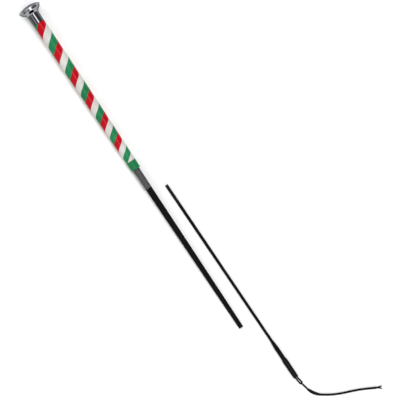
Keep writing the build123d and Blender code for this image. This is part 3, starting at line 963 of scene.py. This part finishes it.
def film_material():
    """Cellophane: almost clear, with a sharp gloss that shows where it ripples."""
    material, tree, shader = new_material("clear_cellophane_film")
    set_shader(shader, Base_Color=linear("#9D9EA0"), Roughness=0.16, IOR=1.5, Alpha=0.12)
    ripple = object_noise(tree, per_metre(7), 2)
    add_bump(tree, shader, ripple.outputs["Fac"], 0.25, 0.3)
    return material


def teardrop(radius, tip_radius, reach):
    """Round the shaft, then straight tangents to a small round end at -Y."""
    swing = math.acos((radius - tip_radius) / reach)
    points = []
    for i in range(ROUND_STEPS + 1):
        angle = math.pi + swing + (2 * math.pi - 2 * swing) * i / ROUND_STEPS
        points.append((radius * math.cos(angle), radius * math.sin(angle)))
    for i in range(FOLD_STEPS + 1):
        angle = math.pi - swing + 2 * swing * i / FOLD_STEPS
        points.append((-reach + tip_radius * math.cos(angle), tip_radius * math.sin(angle)))
    return points


def film_sleeve():
    """Outer and inner walls joined at both ends; the flap ripples more towards its edge."""
    inner_radius = SHAFT_ROOT_RADIUS + SLEEVE_PLAY
    outer = teardrop(inner_radius + FILM, FILM, FLAP_REACH - FILM)
    inner = teardrop(inner_radius, FOLD_RADIUS, FLAP_REACH - 4 * FILM)
    bm = bmesh.new()
    rings = []
    lengths = [SLEEVE_START + SLEEVE_LENGTH * i / LENGTH_STEPS for i in range(LENGTH_STEPS + 1)]
    for section, order in ((outer, lengths), (inner, lengths[::-1])):
        for x in order:
            ring = []
            for y, z in section:
                loose = max(0.0, -y / FLAP_REACH) ** 2
                ripple = FLAP_RIPPLE * loose * math.sin(x * RIPPLE_RATE)
                ring.append(bm.verts.new((x, y, z + ripple * (1 if section is outer else 0.9))))
            rings.append(ring)
    for a, b in zip(rings, rings[1:] + rings[:1]):
        for i in range(len(a)):
            j = (i + 1) % len(a)
            bm.faces.new((a[i], a[j], b[j], b[i]))
    return mesh_from(bm, "film_sleeve", HANDLE)


finish_piece(film_sleeve(), "film_sleeve", film_material(), "handle_section",
             ["clear_sleeve"])

# %% [markdown]
# ## The keeper
#
# Where the tip ends, a whipping of waxed thread builds up its thickness, and a
# polished black leather sleeve over its end holds the lash's loop. The whipping
# is one thread wound side by side, so the spiral tree of the braid makes it
# with a single thread and many turns. A plain skin lies just under the thread.

# %% Thread whipping
KEEPER_THREAD = 0.24
POINTS_PER_LAP = 28
SMALLEST_BORE = 0.3


def whipping(name, place, body, nodes, runs, thread):
    """Close turns of one thread along (start, end, start radius, end radius) runs, over a skin."""
    meshes = []
    for start, end, start_radius, end_radius in runs:
        length = end - start - 2 * thread
        turns = length / (2 * thread)
        meshes.append(grown(BRAIDING, name, THREAD_BLACK, {
            "Start": start + thread, "Length": length, "Start Radius": start_radius - thread,
            "End Radius": end_radius - thread, "Threads": 1, "Turns": turns, "Wave": 0.0,
            "Thread Radius": thread, "Steps": int(turns * POINTS_PER_LAP), "Hand": 1.0}))
        outside, inside = 1.2 * thread, 4 * thread
        meshes.append(lathe([(start, max(SMALLEST_BORE, start_radius - inside)),
                             (start, start_radius - outside), (end, end_radius - outside),
                             (end, max(SMALLEST_BORE, end_radius - inside))],
                            name + "_skin", None, 40, closed=True))
    mesh = joined(meshes, name)
    mesh.transform(place)
    return finish_piece(mesh, name, THREAD_BLACK, body, nodes)


BIND_START = TIP_LENGTH - 59
BIND_FULL = TIP_LENGTH - 47
BIND_END = TIP_LENGTH - KEEPER_BACK
BIND_ROOT = 2.25
BIND_RADIUS = 3.15
whipping("keeper_whipping", TIP, "tip_section", ["keeper_binding"],
         [(BIND_START, BIND_FULL, BIND_ROOT, BIND_RADIUS),
          (BIND_FULL, BIND_END, BIND_RADIUS, BIND_RADIUS)], KEEPER_THREAD)

# %% [markdown]
# ## Polished leather
#
# The keeper's sleeve is black calf, wetted, drawn over the end and burnished
# with a hot iron. That closes the grain and leaves a hard, fairly even gloss.
# Its colour is a brown so dark that it reads as black. The pebbles of the grain
# are still felt in the gloss, so they go into the bumps and not into the colour.

# %% Polished leather
GRAIN = 0.7


def polished_leather():
    """Burnished calf: an almost black brown, glossy, with the grain felt in the gloss."""
    material, tree, shader = new_material("polished_black_leather")
    set_shader(shader, Roughness=0.2, IOR=1.5, Specular_IOR_Level=0.1)
    drift = object_noise(tree, per_metre(6), 3)
    ramp = add_node(tree, "ShaderNodeValToRGB", links={"Fac": drift.outputs["Fac"]})
    set_ramp(ramp, ((0.3, linear("#050505")), (0.8, linear("#0C0B0B"))))
    tree.links.new(ramp.outputs["Color"], shader.inputs["Base Color"])
    place = add_node(tree, "ShaderNodeTexCoord")
    # The pebbles are drawn a little coarser than real, so that they show.
    grain = add_node(tree, "ShaderNodeTexVoronoi", {"feature": "SMOOTH_F1"}, links={
        "Vector": place.outputs["Object"]}, Scale=per_metre(GRAIN))
    add_bump(tree, shader, grain.outputs["Distance"], 0.22, 0.05)
    return material


LEATHER = polished_leather()
print("leather:", LEATHER.name)

# %% [markdown]
# ## The keeper's sleeve
#
# The sleeve swells a little from its shoulder and narrows to its mouth, so the
# loop can't pull it off. Its two edges overlap in a low ridge along the upper
# side, with a groove pressed along each side of it. The lathe can do that too:
# its shape function makes the radius depend on the angle.

# %% Keeper sleeve
SEAM_ANGLE = math.radians(70)
RIDGE, RIDGE_WIDTH = 0.045, 0.16
GROOVE, GROOVE_WIDTH, GROOVE_PLACE = 0.03, 0.1, 0.34


def seamed(x, angle):
    """Share of the radius at an angle: a ridge, and grooves beside it. It is the same at any x."""
    off = abs((angle - SEAM_ANGLE + math.pi) % (2 * math.pi) - math.pi)
    ridge = RIDGE * math.exp(-(off / RIDGE_WIDTH) ** 2)
    groove = GROOVE * math.exp(-((off - GROOVE_PLACE) / GROOVE_WIDTH) ** 2)
    return 1 + ridge - groove


KEEPER_BORE = 2.75
KEEPER = ((BIND_END + PIECE_GAP, KEEPER_BORE), (BIND_END + PIECE_GAP, 3.2),
          (TIP_LENGTH - 27, 3.76), (TIP_LENGTH - 24.5, 3.8), (TIP_LENGTH - 22, 3.8),
          (TIP_LENGTH - 12, 3.68), (TIP_LENGTH, 3.5), (TIP_LENGTH, KEEPER_BORE))
finish_piece(lathe(eased(KEEPER, 0.5), "keeper_leather", TIP, 96, closed=True, shape=seamed),
             "keeper_leather", LEATHER, "tip_section", ["keeper_sleeve"])

# %% [markdown]
# ## Cords: loop, eye and lash
#
# The loop that stands out of the keeper, the eye that hangs in it and the lash
# are all black cord. A cord is never a smooth tube: it is strands laid round
# each other. A curve with a bevel gives the tube, but not the strands. So two
# directions, one to the side and one up, are carried along each line without
# twist, and every strand is placed by them.

# %% Tubes along a line
NEARLY_UPRIGHT = 0.9


def carried_frames(points):
    """Side and up vectors carried along the line without twist."""
    ahead = [(after - before).normalized()
             for before, after in zip(points[:1] + points[:-1], points[1:] + points[-1:])]
    up = Vector((0, 0, 1))
    if abs(ahead[0].dot(up)) > NEARLY_UPRIGHT:
        up = Vector((1, 0, 0))
    side = up.cross(ahead[0]).normalized()
    result = []
    for along in ahead:
        side = (side - along * side.dot(along)).normalized()
        result.append((side, along.cross(side)))
    return result


def tube_along(points, radius, sides, flat=1.0, swell=None):
    """Closed tube; flat is its height as a share of its width, swell scales its width."""
    bm = bmesh.new()
    around = [2 * math.pi * k / sides for k in range(sides)]
    rings = []
    for i, (point, (side, up)) in enumerate(zip(points, carried_frames(points))):
        wide = radius * (swell(i / (len(points) - 1)) if swell else 1)
        rings.append([bm.verts.new(point + side * (wide * math.cos(a))
                                   + up * (flat * radius * math.sin(a))) for a in around])
    for a, b in zip(rings, rings[1:]):
        for k in range(sides):
            j = (k + 1) % sides
            bm.faces.new((a[k], a[j], b[j], b[k]))
    bm.faces.new(rings[0][::-1])
    bm.faces.new(rings[-1])
    return mesh_from(bm, "tube")


def resampled(points, step):
    """Points evenly spaced along a line, both ends kept."""
    lengths = [0.0]
    for a, b in zip(points, points[1:]):
        lengths.append(lengths[-1] + (b - a).length)
    count = max(2, round(lengths[-1] / step))
    result, here = [], 0
    for i in range(count + 1):
        target = lengths[-1] * i / count
        while here < len(points) - 2 and lengths[here + 1] < target:
            here += 1
        share = (target - lengths[here]) / max(1e-12, lengths[here + 1] - lengths[here])
        result.append(points[here].lerp(points[here + 1], min(1.0, share)))
    return result


print("tubes ready")

# %% [markdown]
# ## Strands laid round each other
#
# Each strand has its own place in the cord's section, and that place turns as
# the line goes on. In a twisted cord all strands turn one way. In a plait half
# of them turn the other way, and the two families pass over and under each
# other. A core fills the middle, so that no light shows between the strands.

# %% Twisted cord
STRAND_SIDES = 7


def laid_cord(points, strands, place, strand_radius, sides=STRAND_SIDES, swell=None):
    """Strands along a line; place(number, length so far) is a strand's (side, up) offset."""
    frames = carried_frames(points)
    so_far = [0.0]
    for a, b in zip(points, points[1:]):
        so_far.append(so_far[-1] + (b - a).length)
    meshes = []
    for number in range(strands):
        line = []
        for point, (side, up), length in zip(points, frames, so_far):
            across, lift = place(number, length)
            wide = swell(length / so_far[-1]) if swell else 1
            line.append(point + side * across * wide + up * lift)
        meshes.append(tube_along(line, strand_radius, sides))
    return meshes


def twisted_cord(points, strands, offset, lead, strand, sides=STRAND_SIDES, swell=None):
    """Strands that all turn one way; sizes in millimetres."""
    def place(number, length):
        angle = 2 * math.pi * (length / (lead * MM) + number / strands)
        return offset * MM * math.cos(angle), offset * MM * math.sin(angle)
    return laid_cord(points, strands, place, strand * MM, sides, swell)


print("twisted cords ready")


# %% Plaited cord
def plaited_cord(points, family, half_width, half_height, lead, wave, strand, swell=None):
    """Two families that wind opposite ways, over and under by turns; sizes in millimetres."""
    def place(number, length):
        hand = 1 if number % 2 else -1
        turn = length / (lead * MM)
        angle = 2 * math.pi * (hand * turn + (number // 2) / family)
        swing = wave * MM * hand * math.cos(2 * math.pi * turn * family)
        return ((half_width * MM + swing) * math.cos(angle),
                (half_height * MM + swing) * math.sin(angle))
    return laid_cord(points, 2 * family, place, strand * MM, swell=swell)


print("plaited cords ready")

# %% [markdown]
# ## The keeper's loop
#
# A short piece of waxed cord is doubled and set into the keeper with resin. Its
# two legs leave the mouth side by side, spread a little and go round in a half
# circle. The whole loop lies a few degrees askew. The line is drawn as a few
# points, its corners are cut off twice, and three strands are laid along it.

# %% Keeper loop
LOOP_HALF_WIDTH = 1.65
LOOP_NECK = 1.2
LOOP_BULGE = 1.42
LOOP_REACH = 9.5
LOOP_SKEW = math.radians(8.0)
LOOP_TAIL = 6.0
LOOP_STEPS = 12


def smooth_line(points, rounds):
    """Corner cutting: each round replaces a corner by two points."""
    for _ in range(rounds):
        cut = [points[0]]
        for a, b in zip(points, points[1:]):
            cut += [a.lerp(b, 0.25), a.lerp(b, 0.75)]
        points = cut + [points[-1]]
    return points


def loop_line():
    """Two legs out of the keeper round a half circle about the link, in millimetres."""
    along = Vector((math.cos(LOOP_SKEW), math.sin(LOOP_SKEW), 0))
    side = Vector((-along.y, along.x, 0))
    mouth = Vector((TIP_LENGTH, 0, 0))
    legs = [smooth_line([Vector((TIP_LENGTH - LOOP_TAIL, hand * LOOP_NECK, 0)),
                         Vector((TIP_LENGTH - 1, hand * LOOP_NECK, 0)),
                         Vector((TIP_LENGTH + 2, hand * (LOOP_NECK + 0.1), 0)) + side * 0.3,
                         mouth + along * 6 + side * hand * LOOP_BULGE], 2) for hand in (1, -1)]
    bend = []
    for i in range(LOOP_STEPS + 1):
        angle = math.radians(90 - 180 * i / LOOP_STEPS)
        arm = along * math.cos(angle) + side * math.sin(angle)
        bend.append(mouth + along * LOOP_REACH + arm * LOOP_HALF_WIDTH)
    return legs[0] + bend + legs[1][::-1]


loop_points = resampled([TIP @ p for p in loop_line()], 0.18 * MM)
loop_meshes = twisted_cord(loop_points, strands=3, offset=0.46, lead=5.2, strand=0.62)
loop_meshes += [tube_along(loop_points, 0.7 * MM, 8)]
finish_piece(joined(loop_meshes, "loop"), "loop_cord", LASH_BLACK, "tip_section",
             ["keeper_loop"])

# %% [markdown]
# ## The lash's eye and neck
#
# The lash begins with a thin eye of two twisted strands. It stands upright in
# the flat loop, as one link of a chain in the next, with room all round it to
# swing. Where its legs meet, the cord grows into the neck: three thicker
# strands, which start thin inside the eye's end and soon have their full width.

# %% Lash eye and neck
splice_start = Vector((SPLICE_START[0] * MM, SPLICE_START[1] * MM, LASH_DIAMETER / 2 * MM))
EYE_RISE = 1.72 * MM
EYE_CLOSES = 4.4 * MM
EYE_GAP = 0.3 * MM
EYE_STEPS = 16
NECK_FIRST_WIDTH = 0.35
eye_out = Vector((splice_start.x - LINK.x, splice_start.y - LINK.y, 0)).normalized()
eye_up = Vector((0, 0, 1))


def eye_line():
    """Upright teardrop round the loop's end: a half circle, then two legs that come together."""
    arc = []
    for i in range(EYE_STEPS + 1):
        angle = math.radians(90 + 180 * i / EYE_STEPS)
        arc.append(LINK + eye_out * EYE_RISE * (1 + math.cos(angle))
                   + eye_up * EYE_RISE * math.sin(angle))
    tips = [LINK + eye_out * EYE_CLOSES + eye_up * hand * EYE_GAP for hand in (1, -1)]
    return [tips[0], *arc, tips[1]]


eye_points = resampled(eye_line(), 0.16 * MM)
eye_meshes = twisted_cord(eye_points, strands=2, offset=0.19, lead=2.2, strand=0.27, sides=6)
neck_line = [LINK + eye_out * 2.9 * MM, LINK + eye_out * 6.5 * MM,
             splice_start + (LINK - splice_start) * 0.3, splice_start + eye_out * 1.5 * MM]
neck_points = resampled(smooth_line(neck_line, 3), 0.2 * MM)
neck_meshes = twisted_cord(neck_points, strands=3, offset=0.6, lead=6.0, strand=0.72, sides=8,
                           swell=lambda share: min(1.0, NECK_FIRST_WIDTH + 4 * share))
neck_meshes += [tube_along(neck_points, 0.85 * MM, 10)]
finish_piece(joined(eye_meshes + neck_meshes, "eye"), "lash_eye_cord", LASH_BLACK, "lash",
             ["lash_eye"])

# %% [markdown]
# ## The plaited lash
#
# Behind the neck the lash is doubled back into itself, so it is flat and about
# 4.4 mm wide. After that the cord runs on round. Both are plaits like the
# covers of the shafts, but much coarser. The splice follows one arc. Its width
# swells out of the neck and narrows again into the cord.

# %% Splice
SPLICE_TURN = math.radians(28.0)
SPLICE_STEPS = 40
SPLICE_SWELL = ((0.0, 0.72), (0.3, 1.0), (0.6, 1.0), (1.0, 0.68))


def splice_line():
    """One arc from the neck to the cord's first point."""
    end = Vector((LASH_ROUTE[0][0] * MM, LASH_ROUTE[0][1] * MM, splice_start.z))
    chord = end - splice_start
    bend = chord.length / (2 * math.sin(SPLICE_TURN / 2))
    side = Vector((-chord.y, chord.x, 0)).normalized()
    centre = splice_start + chord / 2 + side * bend * math.cos(SPLICE_TURN / 2)
    arm = splice_start - centre
    return [centre + Matrix.Rotation(SPLICE_TURN * i / SPLICE_STEPS, 3, "Z") @ arm
            for i in range(SPLICE_STEPS + 1)]


def splice_swell(share):
    """Share of the full width at a share of the length, eased between the given pairs."""
    for (a, low), (b, high) in zip(SPLICE_SWELL, SPLICE_SWELL[1:]):
        if share <= b:
            t = (share - a) / (b - a)
            return low + (high - low) * t * t * (3 - 2 * t)
    return SPLICE_SWELL[-1][1]


splice_points = resampled(splice_line(), 0.3 * MM)
splice_meshes = plaited_cord(splice_points, family=6, half_width=1.8, half_height=0.93, lead=11.0,
                             wave=0.06, strand=0.42, swell=splice_swell)
splice_meshes += [tube_along(splice_points, 1.95 * MM, 20, flat=0.56, swell=splice_swell)]
finish_piece(joined(splice_meshes, "splice"), "lash_splice_plait", LASH_BLACK, "lash",
             ["lash_splice"])

# %% The free cord
cord_points = resampled(lash_line, 0.35 * MM)
cord_meshes = plaited_cord(cord_points, family=4, half_width=1.08, half_height=0.88, lead=9.0,
                           wave=0.04, strand=0.48)
cord_meshes += [tube_along(cord_points, 1.38 * MM, 14, flat=0.88)]
lash_piece = finish_piece(joined(cord_meshes, "lash"), "lash_plait", LASH_BLACK, "lash",
                          ["lash_cord"])

# %% [markdown]
# ## The knot
#
# Near its end the lash is bound with a few close turns of thread, drawn into
# the cord so tight that both ends of the binding slope. It is the same piece of
# work as the whipping before the keeper, so the same function makes it.

# %% Knot: close turns of thread round the cord's end
KNOT_LENGTH = 4.6
KNOT_RADIUS = 1.72
KNOT_HEIGHT = 1.75
end_out = (Vector(LASH_ROUTE[-1]) - Vector(LASH_ROUTE[-2])).normalized().to_3d()
knot_start = Vector((LASH_ROUTE[-1][0] * MM, LASH_ROUTE[-1][1] * MM, KNOT_HEIGHT * MM))
KNOT = axis_frame(knot_start, end_out)
whipping("end_knot", KNOT, "lash", ["lash_knot"],
         [(0.0, 1.4, 1.25, KNOT_RADIUS), (1.4, 3.2, KNOT_RADIUS, KNOT_RADIUS),
          (3.2, KNOT_LENGTH, KNOT_RADIUS, 1.2)], thread=0.2)

# %% [markdown]
# ## The tuft
#
# Past the knot the cord's threads are left loose, and they have fallen into two
# locks like a fish's tail. They are bristles on a rule, so Geometry Nodes make
# them: a line for each thread, with a seeded random root and spread, bent a
# little more towards its end. Real threads are ten times thinner. They are
# drawn thick enough to show, and close enough to fill the two locks.

# %% The tuft tree
TUFT_INPUTS = ("Threads", "Length", "Root", "Spread", "Thread Radius", "Seed", "Height")
BRISTLE_STEPS = 12
BRISTLE_BEND = 1.6


def tuft_tree():
    """Loose threads that part into two locks."""
    tree, given = new_tree("tuft", TUFT_INPUTS, ("Threads", "Seed"))
    sums = Sums(tree)
    line = add_node(tree, "GeometryNodeCurvePrimitiveLine",
                    **{"Start": (0, 0, 0), "End": (1, 0, 0)})
    fine = add_node(tree, "GeometryNodeResampleCurve", links={"Curve": line.outputs["Curve"]},
                    Count=BRISTLE_STEPS)
    copies = add_node(tree, "GeometryNodeDuplicateElements", {"domain": "SPLINE"}, links={
        "Geometry": fine.outputs["Curve"], "Amount": given["Threads"]})
    index = copies.outputs["Duplicate Index"]
    place = add_node(tree, "GeometryNodeInputPosition")
    along = add_node(tree, "ShaderNodeSeparateXYZ", links={"Vector": place.outputs[0]}).outputs["X"]

    def chance(step, low, high):
        """A random number for each thread; step keeps the draws apart."""
        node = add_node(tree, "FunctionNodeRandomValue", {"data_type": "FLOAT"}, links={
            "ID": index, "Seed": sums("ADD", given["Seed"], float(step))})
        node.inputs[2].default_value = low
        node.inputs[3].default_value = high
        return node.outputs[1]

    hand = sums("MULTIPLY_ADD", sums("MODULO", index, 2.0), 2.0, -1.0)
    root = sums("MULTIPLY", given["Root"], chance(1, -1.0, 1.0))
    reach = sums("MULTIPLY", hand, sums("MULTIPLY", given["Spread"], chance(2, 0.62, 1.08)))
    bend = sums("POWER", along, BRISTLE_BEND)
    y = sums.mix(bend, root, reach)
    rise = sums("MULTIPLY", given["Height"], chance(3, 0.35, 1.0))
    z = sums.mix(bend, rise, sums("MULTIPLY", rise, 0.55))
    x = sums("MULTIPLY", along, sums("MULTIPLY", given["Length"], chance(4, 0.82, 1.0)))
    bent = add_node(tree, "GeometryNodeSetPosition", links={
        "Geometry": copies.outputs["Geometry"], "Position": sums.vector(x, y, z)})
    end_in_threads(tree, bent.outputs["Geometry"], given["Thread Radius"])
    return tree


BRISTLES = tuft_tree()
print("tuft tree:", len(BRISTLES.nodes), "nodes")

# %% The tuft's threads
TUFT_START = 4.3
tuft_mesh = grown(BRISTLES, "tuft", LASH_BLACK, {
    "Threads": 150, "Length": 7.4, "Root": 0.95, "Spread": 2.1, "Thread Radius": 0.3, "Seed": 7,
    "Height": 1.9})
tuft_mesh.transform(
    axis_frame(Vector((knot_start.x, knot_start.y, 0)) + end_out * TUFT_START * MM, end_out))
finish_piece(tuft_mesh, "tuft_threads", LASH_BLACK, "lash", ["lash_tuft"])

# %% [markdown]
# ## The free cord
#
# The plaited cord is the one piece that hangs free. The eye, the splice, the
# knot and the tuft go with it.

# %% [markdown]
# ## The table
#
# The table is a plain, nearly white sheet, wide enough to reach past every view.

# %% Table
TABLE_SIZE = 6.0
TABLE_WHITE = "#FAFAFA"


def white_table():
    """Matt white card: no gloss, so the light on it is even."""
    material, _, shader = new_material("matt_white_table")
    set_shader(shader, Base_Color=linear(TABLE_WHITE), Roughness=0.9)
    return material


table_mesh = bpy.data.meshes.new("table")
bm = bmesh.new()
bmesh.ops.create_grid(bm, x_segments=1, y_segments=1, size=TABLE_SIZE / 2)
bm.to_mesh(table_mesh)
bm.free()
table_mesh.materials.append(white_table())
table_object = bpy.data.objects.new("table", table_mesh)
bpy.context.scene.collection.objects.link(table_object)
print("table:", TABLE_SIZE, "m square")

# %% [markdown]
# ## The light
#
# The light is a studio's. One long soft box hangs nearly overhead and runs
# along the handle. It draws the bright line along the glossy tapes and the
# chrome, and keeps the shadows short. A wide, weak card on the other side
# softens them. A card beyond each end lights the flare of the cap. The room is
# dim, which gives the chrome something dark to reflect. The table is lit until
# it is just white and no further, because a table that is brighter than white
# spreads over the thin black pieces and makes them look thinner.

# %% Lights
ROOM_STRENGTH = 0.18


def soft_box(name, place, aim, size, power):
    """Rectangular studio light, its long side level."""
    lamp = bpy.data.lights.new(name, "AREA")
    lamp.shape = "RECTANGLE"
    lamp.size, lamp.size_y = size
    lamp.energy = power
    holder = bpy.data.objects.new(name, lamp)
    holder.location = place
    direction = Vector(aim) - Vector(place)
    holder.rotation_euler = direction.to_track_quat("-Z", "Y").to_euler()
    bpy.context.scene.collection.objects.link(holder)


# Name, place, what it is aimed at and size in metres, power in watts.
soft_box("long_box", (0.0, 0.42, 2.45), (0.0, 0.04, 0.0), (3.0, 0.9), 48)
soft_box("fill_card", (0.0, -1.5, 1.5), (0.0, 0.0, 0.0), (2.8, 1.2), 9.5)
soft_box("card_beyond_tip", (1.0, 0.0, 0.45), (-0.3, 0.0, 0.0), (1.0, 0.6), 4.8)
soft_box("card_beyond_cap", (-1.0, 0.0, 0.5), (-0.3, 0.0, 0.0), (1.0, 0.6), 4)

world = bpy.data.worlds.new("studio_room")
world.use_nodes = True
world.node_tree.nodes["Background"].inputs["Color"].default_value = linear("#FFFFFF")
world.node_tree.nodes["Background"].inputs["Strength"].default_value = ROOM_STRENGTH
bpy.context.scene.world = world
bpy.context.scene.view_settings.view_transform = "Standard"
